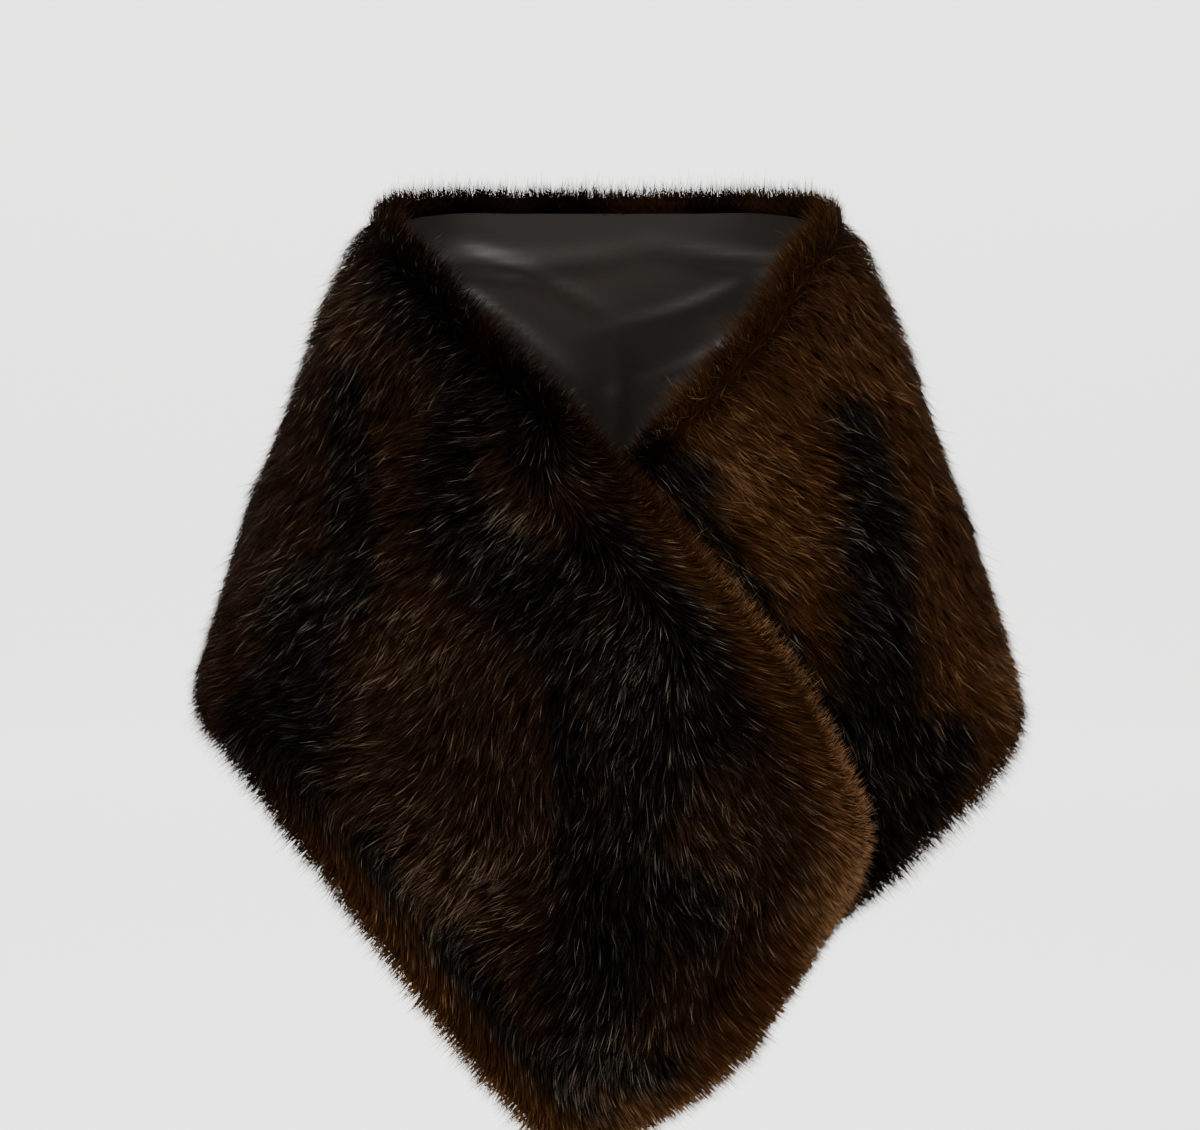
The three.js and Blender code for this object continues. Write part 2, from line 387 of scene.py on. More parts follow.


# %% [markdown]
# ## The colours of the coat
# Long faux fur of this kind is printed or pieced in soft stripes: near-black stripes over a
# warm brown. Each hair carries four numbers, so one recipe serves all hairs: how far it lies
# in a brown area, its own chance value with a painted sheen added in places, how near the tip
# a point is, and how golden it is. Roots are dark, and the few hairs with a high chance value
# end in a pale tip: partly the hair's own pale tip, partly a painted glint of light.

# %% The fur's recipe
GOLDEN = (0.0268, 0.0098, 0.0024, 1)
REDDISH = (0.0105, 0.0034, 0.0009, 1)
SOOT = (0.0006, 0.0005, 0.0003, 1)
# tip colours: partly the hairs' own pale tips, partly painted glints that stand in for the gloss of
# the hair
PALE_TIP_AND_GLINT = (0.215, 0.112, 0.052, 1)
ASH_TIP_AND_GLINT = (0.165, 0.116, 0.078, 1)
GREY_TIP_AND_GLINT = (0.150, 0.136, 0.102, 1)
HAIR_GLOSS = 0.014
PALE_AND_GLINT_FROM_TO = (0.48, 0.94)
PALE_AND_GLINT_RARENESS = 6


def coat_material(name, roughness):
    """The coat's colour from the four numbers that each point carries."""
    recipe = Recipe(name)
    settings = {"attribute_name": "coat", "attribute_type": "GEOMETRY"}
    colour = recipe.node("ShaderNodeAttribute", settings)
    golden = Shade(recipe, colour.socket.node.outputs["Alpha"])
    parts = recipe.node("ShaderNodeSeparateColor", None, {0: colour}).socket.node.outputs
    brownness, chance, tip = (Shade(recipe, part) for part in parts)
    body = recipe.mix(brownness, SOOT, recipe.mix(golden, REDDISH, GOLDEN))
    # darker towards the root, and brighter on hairs with a high chance value, which includes the
    # painted sheen
    light = (0.2 + 0.8 * tip) * (0.35 + 1.25 * chance)
    # pale tips on the few hairs with a high chance value: partly real pale tips, partly painted
    # glints
    ends = recipe.mix(brownness, GREY_TIP_AND_GLINT, recipe.mix(golden, ASH_TIP_AND_GLINT, PALE_TIP_AND_GLINT))
    share = recipe.ramp(tip, *PALE_AND_GLINT_FROM_TO) * (0.008 + 0.92 * chance ** PALE_AND_GLINT_RARENESS)
    return recipe.finish(Base_Color=recipe.mix(share, recipe.dim(body, light), ends),
                         Roughness=roughness, Specular_IOR_Level=HAIR_GLOSS)


coat = coat_material("fur_coat", 0.42)
underfur = coat_material("fur_underlay", 0.9)
print("fur recipes:", coat.name, "and", underfur.name)

# %% [markdown]
# ## Where the stripes and the nap run
# On the real coat the stripes are dyed, and brushing lays the hairs. Both could be painted on a
# texture. Here the dark areas are strokes from one place of the figure to another with a width,
# so that each hair can ask which colour it grows in. The nap mostly runs from
# the rim to the hem, and a short list of directions turns it where it was brushed aside.

# %% Dark strokes on the figure: dyed stripes, and a painted shadow under the crossing edge
# panel (1 outer, -1 under), from (turn, height), to (turn, height), half width
STROKES = [
    # the front
    (1, (126, -140), (136, -236), 16), (1, (136, -236), (142, -332), 24),
    (1, (131, -344), (138, -468), 46), (1, (138, -468), (137, -528), 44),
    (1, (126, -462), (134, -540), 30), (1, (140, -552), (147, -604), 26),
    (1, (147, -604), (152, -640), 20), (1, (152, -640), (160, -706), 18),
    (1, (150, -572), (152, -624), 25), (1, (128, -28), (146, -92), 26),
    (1, (146, -92), (157, -156), 18), (1, (157, -156), (155, -232), 26),
    (1, (161, -120), (169, -204), 22), (1, (159, -272), (172, -344), 45),
    (1, (178, -284), (175, -388), 25), (1, (175, -388), (176, -580), 14),
    (1, (182, -240), (187, -284), 28), (1, (187, -284), (189, -380), 45),
    (1, (184, -380), (185, -496), 45), (1, (189, -380), (193, -456), 40),
    (1, (181, -560), (179, -708), 50), (1, (183, -590), (190, -628), 40),
    (1, (162, -668), (165, -724), 20), (1, (172, -790), (178, -850), 26),
    (-1, (175, -204), (167, -224), 22), (-1, (133, -180), (135, -272), 33),
    (-1, (135, -272), (140, -388), 45), (-1, (140, -388), (145, -524), 52),
    (-1, (145, -524), (144, -600), 40), (-1, (136, -468), (136, -536), 22),
    # the four narrow strokes of the under panel along the outer end's crossing edge are painted
    # shadow, where the edge shades the under panel
    (-1, (174, -196), (166, -262), 7), (-1, (166, -262), (157, -340), 4),
    (-1, (157, -340), (150, -440), 5), (-1, (150, -440), (143, -560), 14),
    (-1, (130, -480), (138, -548), 28),
    (1, (165, -724), (172, -800), 24), (1, (158, -660), (166, -724), 20),
    (1, (176, -760), (186, -790), 22),
    # the sides and the back
    (1, (70, -20), (66, -160), 22), (1, (66, -160), (72, -330), 36),
    (1, (62, -180), (58, -420), 30), (1, (44, 20), (48, -150), 24),
    (1, (33, -120), (28, -300), 34), (1, (28, -300), (34, -450), 26),
    (1, (12, 30), (6, -170), 28), (1, (8, -250), (14, -440), 36),
    (-1, (8, -20), (14, -190), 30), (-1, (14, -190), (9, -400), 24),
    (-1, (31, 20), (36, -240), 32), (-1, (42, -240), (38, -440), 34),
    (-1, (58, -60), (54, -260), 22), (-1, (68, -10), (74, -210), 30),
    (-1, (74, -210), (69, -430), 26),
]
# panel, (x, z) of the front view, (sideways, upwards) of the nap there
COMBED = [
    (1, (60, -330), (-0.5, -0.85)), (1, (110, -400), (0.5, -0.85)),
    (1, (150, -420), (0.87, -0.5)), (1, (200, -520), (0.75, -0.66)),
    (1, (235, -600), (0.9, -0.45)), (1, (190, -690), (0.75, -0.66)),
    (1, (130, -770), (0.55, -0.83)), (1, (20, -840), (0.05, -1)),
    (1, (-60, -820), (-0.2, -0.98)), (1, (-80, -520), (-0.15, -1)),
    (1, (-130, -600), (-0.85, -0.5)), (1, (-5, -560), (-0.35, -0.94)),
    (1, (60, -640), (0.2, -0.98)), (1, (100, -560), (0.5, -0.87)),
    (-1, (265, -480), (0.25, -0.97)), (-1, (300, -380), (0.4, -0.9)),
    (-1, (200, -300), (0.85, -0.5)), (1, (-330, -480), (-0.85, -0.5)),
    (1, (-292, -552), (-0.8, -0.6)), (1, (-250, -615), (-0.8, -0.6)),
    (1, (-205, -668), (-0.78, -0.63)), (1, (-160, -722), (-0.7, -0.7)),
    (1, (-108, -782), (-0.45, -0.9)), (-1, (335, -500), (0.6, -0.8)),
    (-1, (285, -568), (0.45, -0.9)),
]
COMBED_REACH = 62.0
COMBED_WEIGHT = 4.5
# panel, (x, z) of the front view, reach, strength of the painted sheen there: paler tips painted
# where the pile bends to the light
SHEENS = [
    (1, (-175, -380), 70, 0.22), (1, (-135, -610), 70, 0.32), (1, (-80, -262), 40, 0.24),
    (1, (40, -395), 60, 0.20), (1, (-250, -75), 60, 0.20), (1, (0, -815), 80, 0.30),
    (1, (-290, -330), 60, 0.16), (1, (85, -560), 60, 0.18), (-1, (165, -290), 75, 0.20),
    (-1, (105, -205), 50, 0.24), (-1, (365, -400), 60, 0.16), (-1, (265, -130), 60, 0.14),
    (1, (-210, -500), 50, 0.14), (1, (205, -520), 42, 0.22), (1, (232, -572), 45, 0.34),
    (1, (215, -640), 50, 0.38), (-1, (392, -420), 30, 0.25),
]
STROKE_SPACING = 12.0
STROKE_CORE = 0.35
STROKE_REACH = 1.1
STROKE_BLUR = 16.0
CROSSING_RUN = (560, 680)
CROSSING_BROWN = (30, 62)
ROLLED_BROWN = 0.4
ROLLED_RUN = (8, 26)
print("strokes:", len(STROKES), "and combed places:", len(COMBED))


# %% Ask which colour and which direction a hair has
def crossing_share(along, across, full, gone):
    """1 along the crossing edge of the outer end, from a full width to where it is gone."""
    edge = edge_distance(along, across)
    return smooth_step(along, *CROSSING_RUN) * (1 - smooth_step(edge, full, gone))


def brown_share(along, across):
    """1 on the brown ground of the coat and 0 in the middle of its panel's dark strokes."""
    turn, height = worn_place(along, across)
    dark = np.zeros(len(along))
    for panel, start, stop, half_width in STROKES:
        near = np.nonzero(np.sign(turn) == -panel)[0]
        count = int(abs(stop[1] - start[1]) / STROKE_SPACING) + 2
        nearest = np.full(len(near), np.inf)
        for share in np.linspace(0, 1, count):
            place = np.array([-panel * (start[0] + (stop[0] - start[0]) * share)])
            level = np.array([start[1] + (stop[1] - start[1]) * share])
            degree = np.linalg.norm(figure_point(place + 1, level) - figure_point(place, level))
            gap = np.hypot((turn[near] - place) * degree, height[near] - level)
            nearest = np.minimum(nearest, gap)
        reach = half_width * STROKE_REACH + STROKE_BLUR
        inside = 1 - smooth_step(nearest, half_width * STROKE_CORE, reach)
        dark[near] = np.maximum(dark[near], inside)
    crossing = crossing_share(along, across, *CROSSING_BROWN)
    rolled = ROLLED_BROWN * (1 - smooth_step(edge_distance(along, across), *ROLLED_RUN))
    return np.maximum(1 - dark, np.maximum(crossing, rolled))


def view_gap(points, x, z):
    """Distance in millimetres from a place (x, z) of the front view."""
    return np.hypot(points[:, 0] * METRE - x, points[:, 2] * METRE - z)


def sheen_share(points, side):
    """Painted sheen: how much paler the tips are painted near the places where the pile bends to
    the light.
    """
    total = np.zeros(len(points))
    for panel, (x, z), reach, strength in SHEENS:
        gap = view_gap(points, x, z)
        near = (side == panel) & (points[:, 1] < 0)
        total += np.where(near, strength * np.exp(-(gap / reach) ** 2), 0)
    return total


def combed_nap(points, side, nap, outwards):
    """Turns the nap towards the combed directions near their places on the front."""
    total = nap.copy()
    for panel, (x, z), (sideways, upwards) in COMBED:
        near = (side == panel) & (outwards[:, 1] < -0.3)
        gap = view_gap(points, x, z)
        weight = np.where(near, COMBED_WEIGHT * np.exp(-(gap / COMBED_REACH) ** 2), 0)
        depth = -(sideways * outwards[:, 0] + upwards * outwards[:, 2])
        depth = depth / np.where(near, outwards[:, 1], 1)
        turned = np.stack([np.full(len(gap), sideways), depth, np.full(len(gap), upwards)], axis=1)
        total += unit(turned) * weight[:, None]
    total -= outwards * np.sum(total * outwards, axis=1, keepdims=True)
    return unit(total)


some_along = np.array([-500.0, 0.0, 700.0])
some_brown = brown_share(some_along, np.full(3, 0.4))
print("brown at three places of the cut:", np.round(some_brown, 2).tolist())

# %% [markdown]
# ## The underfur
# Beneath the long guard hairs lies a dense, matt underfur on its backing cloth. A sheet with a
# Solidify modifier could give it, but its thickness changes: full in the field, rounded off at
# the free edges and thin where one end is pressed under the other. So both faces are worked out
# point by point and closed into one wall, and no light passes between the hairs.

# %% Thickness of the pile and of the underfur
SHELL_INSET = 8.5
HAIR_RISE = 9.5
SHELL_INSIDE = 1.5
PILE_DEPTH = 28.0
RIM_PILE = 31.0
ROUNDING_RUN = 12.0
EDGE_HALF_WIDTH = 2.5
UNDERFUR_STEP = 9.0
UNDER_SLANT = 170.0
HIDDEN_REACH = (530, 590)
CROSSING_ROLL = (660, 760)
CROSSING_ROLL_WIDTH = (40, 95)
RIM_ROLL_WIDTH = (20, 70)


def under_reach(along, across):
    """How far a place is along the under end, in millimetres, slanted as the ends cross."""
    return -along - UNDER_SLANT * across


def hidden_share(along, across):
    """From 0 to 1 where the under end goes beneath the outer end."""
    return smooth_step(under_reach(along, across), *HIDDEN_REACH)


def pile_depth(along, across):
    """Depth of the whole pile, fuller in the roll along the rim and the crossing edge."""
    width = across * BAND_WIDTH
    crossing = smooth_step(along, *CROSSING_ROLL)
    crossing = crossing * (1 - smooth_step(width, *CROSSING_ROLL_WIDTH))
    roll = np.maximum(1 - smooth_step(width, *RIM_ROLL_WIDTH), crossing)
    shown = 1 - hidden_share(along, across)
    return PILE_DEPTH + (RIM_PILE - PILE_DEPTH) * roll * shown, shown


def shell_faces(along, across):
    """Offsets of the outer and inner faces of the underfur."""
    depth, shown = pile_depth(along, across)
    edge = np.clip((edge_distance(along, across) - SHELL_INSET) / ROUNDING_RUN, 0, 1)
    round_share = np.sqrt(1 - (1 - edge) ** 2)
    middle = (depth - HAIR_RISE) / 2
    half = EDGE_HALF_WIDTH + (middle - EDGE_HALF_WIDTH) * round_share
    trough = fold_height(TROUGHS, along, across) * shown * round_share
    return SHELL_INSIDE + middle + half + trough, SHELL_INSIDE + middle - half


outer_face, inner_face = shell_faces(np.zeros(1), np.full(1, 0.5))
print("underfur at the middle of the back, mm:", (outer_face - inner_face).tolist())


# %% A closed wall over a grid of the cut
INNER_FACE_UV = 0.6
SHARP_ANGLE = math.radians(60)


def mesh_from_arrays(name, points, corners, sizes):
    """A smooth mesh from points, the corners of all faces in one row, and each face's size."""
    mesh = bpy.data.meshes.new(name)
    mesh.vertices.add(len(points))
    mesh.vertices.foreach_set("co", points.astype(np.float32).ravel())
    mesh.loops.add(len(corners))
    mesh.loops.foreach_set("vertex_index", corners.astype(np.int32))
    mesh.polygons.add(len(sizes))
    starts = np.concatenate([[0], np.cumsum(sizes)[:-1]])
    mesh.polygons.foreach_set("loop_start", starts.astype(np.int32))
    mesh.polygons.foreach_set("use_smooth", np.ones(len(sizes), bool))
    mesh.update(calc_edges=True)
    mesh.validate()
    return mesh


def wall_mesh(name, along, across, outer, inner):
    """Two faces over the same grid of the cut, closed all round by narrow sides."""
    columns, rows = along.shape
    along, across = along.ravel(), across.ravel()
    points = np.vstack([
        band_point(along, across, outer.ravel()),
        band_point(along, across, inner.ravel()),
    ])
    index = np.arange(columns * rows).reshape(columns, rows)
    below = index + columns * rows

    def quads(*corners):
        return np.stack([corner.ravel() for corner in corners], axis=1)

    faces = np.vstack([
        quads(index[:-1, :-1], index[:-1, 1:], index[1:, 1:], index[1:, :-1]),
        quads(below[:-1, :-1], below[1:, :-1], below[1:, 1:], below[:-1, 1:]),
        quads(index[:-1, 0], index[1:, 0], below[1:, 0], below[:-1, 0]),
        quads(index[:-1, -1], below[:-1, -1], below[1:, -1], index[1:, -1]),
        quads(index[0, :-1], below[0, :-1], below[0, 1:], index[0, 1:]),
        quads(index[-1, :-1], index[-1, 1:], below[-1, 1:], below[-1, :-1]),
    ])
    mesh = mesh_from_arrays(name, points, faces.ravel(), np.full(len(faces), 4))
    corner_uv = np.stack([along, across * BAND_WIDTH], axis=1) / METRE
    corner_uv = np.vstack([corner_uv, corner_uv + np.array([0, INNER_FACE_UV])])
    mesh.uv_layers.new(name="UVMap").uv.foreach_set("vector", corner_uv[faces.ravel()].ravel())
    mesh.set_sharp_from_angle(angle=SHARP_ANGLE)
    return mesh


def add_piece(name, mesh, material):
    """Puts a piece at the origin, as a part of the one body, with its material."""
    piece = bpy.data.objects.new(name, mesh)
    bpy.context.scene.collection.objects.link(piece)
    mesh.materials.append(material)
    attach(piece, "root")
    return piece


# %% The three stretches of the band
EDGE_STEPS = np.array([0, 1.0, 3.0, 6.0, 10.0])
STRETCHES = {
    "back": (-SEAM_ALONG + SEAM_GAP / 2, SEAM_ALONG - SEAM_GAP / 2),
    "outer_front": (SEAM_ALONG + SEAM_GAP / 2, None),
    "under_front": (None, -SEAM_ALONG - SEAM_GAP / 2),
}


def spaced(length, step, fine_start, fine_end):
    """Even steps from 0 to a length, with closer ones at the ends that are free edges."""
    head = EDGE_STEPS if fine_start else np.array([0.0])
    tail = length - EDGE_STEPS[::-1] if fine_end else np.array([float(length)])
    count = max(2, int(round((tail[0] - head[-1]) / step)))
    field = np.linspace(head[-1], tail[0], count + 1)[1:-1]
    return np.concatenate([head, field, tail])


def stretch_grid(stretch, inset, step):
    """Places along and across the cut for one stretch, close together by its free edges."""
    start, stop = STRETCHES[stretch]
    across = (spaced(BAND_WIDTH - 2 * inset, step, True, True) + inset) / BAND_WIDTH
    rim_length = UNDER_RIM_LENGTH if start is None else OUTER_RIM_LENGTH
    nominal = 2 * SEAM_ALONG if None not in (start, stop) else rim_length - SEAM_ALONG
    share = spaced(nominal, step, start is None, stop is None) / nominal
    first = np.full(len(across), start or 0.0)
    last = np.full(len(across), stop or 0.0)
    if start is None:
        first = -(half_length(np.full(len(across), -1), across) - inset)
    if stop is None:
        last = half_length(np.full(len(across), 1), across) - inset
    along = first[None, :] + (last - first)[None, :] * share[:, None]
    return along, np.tile(across, (len(share), 1))


for stretch in STRETCHES:
    grid_along, _ = stretch_grid(stretch, SHELL_INSET, UNDERFUR_STEP)
    print(stretch, "grid of the underfur:", grid_along.shape)


# %% Dress each stretch in underfur
GOLDEN_FROM = (-60, 90)
GOLDEN_CROSSING = (40, 80)
GOLDEN_RUN = (630, 790)
UNDERFUR_CHANCE = 0.3
UNDERFUR_TIP = 0.1


def golden_share(along, across, points):
    """Golden on the wearer's left and along the crossing edge, and reddish elsewhere."""
    left = np.where(along < 0, smooth_step(points[:, 0] * METRE, *GOLDEN_FROM), 0)
    edge = crossing_share(along, across, *GOLDEN_CROSSING) * smooth_step(along, *GOLDEN_RUN)
    return np.maximum(left, edge)


def set_coat_numbers(mesh, values):
    """Stores brown share, chance (with painted sheen added on the hairs), nearness to the tip and
    golden share at every point.
    """
    layer = mesh.attributes.new("coat", "FLOAT_COLOR", "POINT")
    layer.data.foreach_set("color", values.astype(np.float32).ravel())


fur_shells = {}
for stretch in STRETCHES:
    along, across = stretch_grid(stretch, SHELL_INSET, UNDERFUR_STEP)
    outer, inner = shell_faces(along.ravel(), across.ravel())
    mesh = wall_mesh(f"underfur_{stretch}", along, across, outer, inner)
    points = np.zeros(len(mesh.vertices) * 3, np.float32)
    mesh.vertices.foreach_get("co", points)
    points = points.reshape(-1, 3)
    along, across = np.tile([along.ravel(), across.ravel()], 2)
    values = np.ones((len(points), 4))
    values[:, 0] = brown_share(along, across)
    values[:, 1] = UNDERFUR_CHANCE
    values[:, 2] = UNDERFUR_TIP
    values[:, 3] = golden_share(along, across, points)
    set_coat_numbers(mesh, values)
    shell = add_piece(f"underfur_{stretch}", mesh, underfur)
    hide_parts(f"fur_{stretch}")
    fur_shells[stretch] = shell
    print(shell.name, len(mesh.polygons), "faces")

# %% [markdown]
# ## The guard hairs
# Long, glossy hairs make the look of the coat. Blender can grow hair curves, but only meshes
# are handed on, so each hair is a narrow tapering ribbon of three triangles. It rises from the
# underfur, bends over along the nap and ends in a point. Neighbours lean to the middle of their
# lock, which makes the small pointed locks that catch the light. Chance numbers come from a
# fixed seed, so the same coat grows each time.

# %% Sizes of the hairs, chance fields and locks
HAIR_LENGTH = 0.033
HAIR_WIDTH = 0.00062
HAIRS_PER_SQUARE_MM = 0.24
LOCK_SPACING = 8.5
chances = np.random.default_rng(11)


class ChanceField:
    """A smooth random value over the cut, from a coarse grid of chance numbers."""

    SIZE = np.array([2600, 700])
    ORIGIN = np.array([1250, 60])

    def __init__(self, *spacing):
        self.spacing = np.array(spacing)
        rows, columns = (self.SIZE / self.spacing).astype(int) + 4
        self.grid = chances.uniform(-1, 1, (rows, columns))

    def at(self, along, across):
        """The value at places of the cut, blended from the four nearest chance numbers."""
        place = (np.stack([along, across * BAND_WIDTH], axis=1) + self.ORIGIN) / self.spacing
        cell = np.floor(place).astype(int)
        share = place - cell
        share = share * share * (3 - 2 * share)
        row, column = cell.T
        low = self.grid[row, column] * (1 - share[:, 0]) + self.grid[row + 1, column] * share[:, 0]
        high = (self.grid[row, column + 1] * (1 - share[:, 0])
                + self.grid[row + 1, column + 1] * share[:, 0])
        return low * (1 - share[:, 1]) + high * share[:, 1]


broad_sway = ChanceField(120, 150)
lock_sway = ChanceField(34, 46)
LOCK_ORIGIN = np.array([1200, 50])
LOCK_GRID = (np.array([2500, 600]) / LOCK_SPACING).astype(int) + 3
lock_centres = chances.uniform(0.1, 0.9, (*LOCK_GRID, 2))
lock_chances = chances.uniform(0, 1, (*LOCK_GRID, 3))
print("places for locks:", LOCK_GRID.tolist())


# %% Find the lock that a hair belongs to
def nearest_lock(along, across):
    """The centre of the nearest lock, in cut millimetres, and its own chance numbers."""
    place = (np.stack([along, across * BAND_WIDTH], axis=1) + LOCK_ORIGIN) / LOCK_SPACING
    cell = np.floor(place).astype(int)
    best = np.full(len(place), np.inf)
    centre = np.zeros((len(place), 2))
    chance = np.zeros((len(place), 3))
    for row in (-1, 0, 1):
        for column in (-1, 0, 1):
            near = np.clip(cell + (row, column), 0, LOCK_GRID - 1)
            there = near + lock_centres[near[:, 0], near[:, 1]]
            gap = np.linalg.norm(place - there, axis=1)
            closer = gap < best
            best[closer] = gap[closer]
            centre[closer] = there[closer]
            chance[closer] = lock_chances[near[closer, 0], near[closer, 1]]
    centre = centre * LOCK_SPACING - LOCK_ORIGIN
    return centre[:, 0], centre[:, 1] / BAND_WIDTH, chance


lock_middle = nearest_lock(np.zeros(1), np.full(1, 0.5))[:2]
print("lock nearest to the middle of the back:", np.round(lock_middle, 3).ravel().tolist())

# %% Roots on the field
FIELD_STOP = 640.0
ROOT_DEPTH = 0.5


def field_roots(start, stop):
    """Roots spread over the outer face between two places along the cut."""
    count = int((stop - start) * BAND_WIDTH * HAIRS_PER_SQUARE_MM)
    along = chances.uniform(start, stop, count)
    across = chances.uniform(0, 1, count)
    inside = edge_distance(along, across) > SHELL_INSET + 1.0
    inside &= under_reach(along, across) < FIELD_STOP
    inside &= half_length(along, across) > np.abs(along)
    along, across = along[inside], across[inside]
    outer, _ = shell_faces(along, across)
    return along, across, outer - ROOT_DEPTH, np.full(len(along), 90.0)


print("hairs on each square centimetre:", round(HAIRS_PER_SQUARE_MM * 100))

# %% Roots round the free edges
EDGE_RADIUS = 8.0
# a free edge shows from both faces, so it is planted about twice as thickly as its half circle
EDGE_TURN = math.radians(380)
EDGE_ANGLES = (-78, 92)
INNER_ANGLE = -55
INNER_SPREAD = 9
END_PLACES = 900.0


def edge_roots(start, stop):
    """Roots round the free edges: a half circle from the outer to the inner face."""
    groups = []
    for edge in ("rim", "hem", "end"):
        if edge == "end" and abs(start) < END_PLACES and abs(stop) < END_PLACES:
            continue
        length = BAND_WIDTH if edge == "end" else stop - start
        count = int(length * EDGE_RADIUS * EDGE_TURN * HAIRS_PER_SQUARE_MM)
        angle = chances.uniform(*EDGE_ANGLES, count)
        distance = SHELL_INSET + 1 + EDGE_RADIUS * (1 - np.cos(np.radians(angle)))
        inner_spread = chances.uniform(0, INNER_SPREAD, count)
        distance = distance + np.where(angle < INNER_ANGLE, inner_spread, 0)
        if edge == "end":
            across = chances.uniform(0.03, 0.97, count)
            side = 1.0 if stop > END_PLACES else -1.0
            along = side * (half_length(np.full(count, side), across) - distance)
        else:
            along = chances.uniform(start, stop, count)
            across = distance / BAND_WIDTH
            across = 1 - across if edge == "hem" else across
        inside = edge_distance(along, across) > SHELL_INSET - 2
        outer, inner = shell_faces(along, across)
        middle = (outer + inner) / 2
        offset = middle + (outer - inner) / 2 * np.sin(np.radians(angle))
        groups.append(np.stack([along, across, offset, angle])[:, inside])
    return tuple(np.concatenate(groups, axis=1))


print("a metre of free edge has", round(METRE * EDGE_RADIUS * EDGE_TURN * HAIRS_PER_SQUARE_MM),
      "hairs")


# %% What is known at the roots
# from full to gone, in millimetres from the nearest free edge: where hairs point out over it,
# where locks lie quiet beside it, and the roll of the crossing edge
RING_REACH = (SHELL_INSET + 6, SHELL_INSET + 30)
CALM_REACH = (SHELL_INSET + 16, SHELL_INSET + 48)
ROLL_REACH = (42, 92)


def edge_outwards(along, across, along_axis, across_axis):
    """The direction in the cloth's own surface that leads out over the nearest free edge."""
    step = 2.0
    tiny = step / BAND_WIDTH
    sloped = edge_distance(along + step, across) - edge_distance(along - step, across)
    tilted = edge_distance(along, across + tiny) - edge_distance(along, across - tiny)
    return unit(-along_axis * sloped[:, None] - across_axis * tilted[:, None])


def root_tuft(start, stop):
    """Gathers what is known at the roots: place, directions, lock and nearness to an edge."""
    tuft = SimpleNamespace()
    both = zip(field_roots(start, stop), edge_roots(start, stop))
    tuft.along, tuft.across, offset, angle = (np.concatenate(pair) for pair in both)
    tuft.count = len(tuft.along)
    tuft.side = np.where(tuft.along < 0, -1, 1)
    tuft.lock_along, tuft.lock_across, tuft.lock_chance = nearest_lock(tuft.along, tuft.across)
    tuft.roots = band_point(tuft.along, tuft.across, offset)
    axes = surface_axes(tuft.along, tuft.across, offset)
    tuft.along_axis, tuft.across_axis, tuft.outwards = axes
    tuft.out = edge_outwards(tuft.along, tuft.across, tuft.along_axis, tuft.across_axis)
    tilt = np.radians(angle)[:, None]
    tuft.rise = tuft.outwards * np.sin(tilt) + tuft.out * np.cos(tilt)
    edge = edge_distance(tuft.along, tuft.across)
    tuft.ring = 1 - smooth_step(edge, *RING_REACH)
    tuft.calm = 1 - smooth_step(edge, *CALM_REACH)
    tuft.roll = crossing_share(tuft.along, tuft.across, *ROLL_REACH)
    return tuft


# %% [markdown]
# A real coat is combed, and each lock strays a little from its neighbours. So the nap takes the
# combed direction, sways by the lock and by the wider area, turns over the crossing edge in
# its roll, and near a free edge points out over it, where the locks also part into single hairs.

# %% Comb and lift the hairs
LOCK_SWAY = 0.34
LOCK_OWN_SWAY = 0.45
BROAD_SWAY = 0.42
HAIR_SWAY = 0.15
LOOSE_AT_EDGE = 0.3
STRAY_SHARE = 0.10
FIRST_LIFT = 39
SECOND_LIFT = 14
LIFT_SPREAD = 7


def comb_tuft(tuft):
    """Turns each hair's nap by its lock and by chance, and outwards over a free edge."""
    nap = combed_nap(tuft.roots, tuft.side, tuft.across_axis, tuft.outwards)
    sway = LOCK_SWAY * lock_sway.at(tuft.lock_along, tuft.lock_across)
    sway = sway + LOCK_OWN_SWAY * (tuft.lock_chance[:, 0] - 0.5)
    sway = sway + BROAD_SWAY * broad_sway.at(tuft.lock_along, tuft.lock_across)
    sway = sway * (1 - 0.85 * tuft.calm) + chances.normal(0, HAIR_SWAY, tuft.count)
    sideways = np.cross(tuft.outwards, nap)
    nap = nap * np.cos(sway)[:, None] + sideways * np.sin(sway)[:, None]
    rolled_nap = unit(tuft.out * 0.55 + tuft.along_axis * 0.8)
    nap = unit(nap * (1 - tuft.roll)[:, None] + rolled_nap * (2.5 * tuft.roll)[:, None])
    loose = chances.normal(0, LOOSE_AT_EDGE, tuft.count) * tuft.ring
    nap = nap * (1 - 0.75 * tuft.ring)[:, None] + tuft.out * (0.95 * tuft.ring)[:, None]
    tuft.nap = unit(nap + tuft.along_axis * loose[:, None])


def lift_tuft(tuft):
    """How steeply each hair leaves the skin and how flat it ends. One in ten strays."""
    tuft.strays = chances.uniform(0, 1, tuft.count) < STRAY_SHARE
    first = chances.normal(FIRST_LIFT, LIFT_SPREAD, tuft.count)
    first = first + 14 * tuft.strays - 8 * tuft.roll
    second = chances.normal(SECOND_LIFT, LIFT_SPREAD, tuft.count)
    second = second + 24 * tuft.strays + 14 * tuft.ring
    tuft.first_lift = np.radians(first)[:, None]
    tuft.second_lift = np.radians(second)[:, None]


# %% Lengths of the hairs
GUARD_SHARE = 0.13
COVERED_REACH = (560, FIELD_STOP)


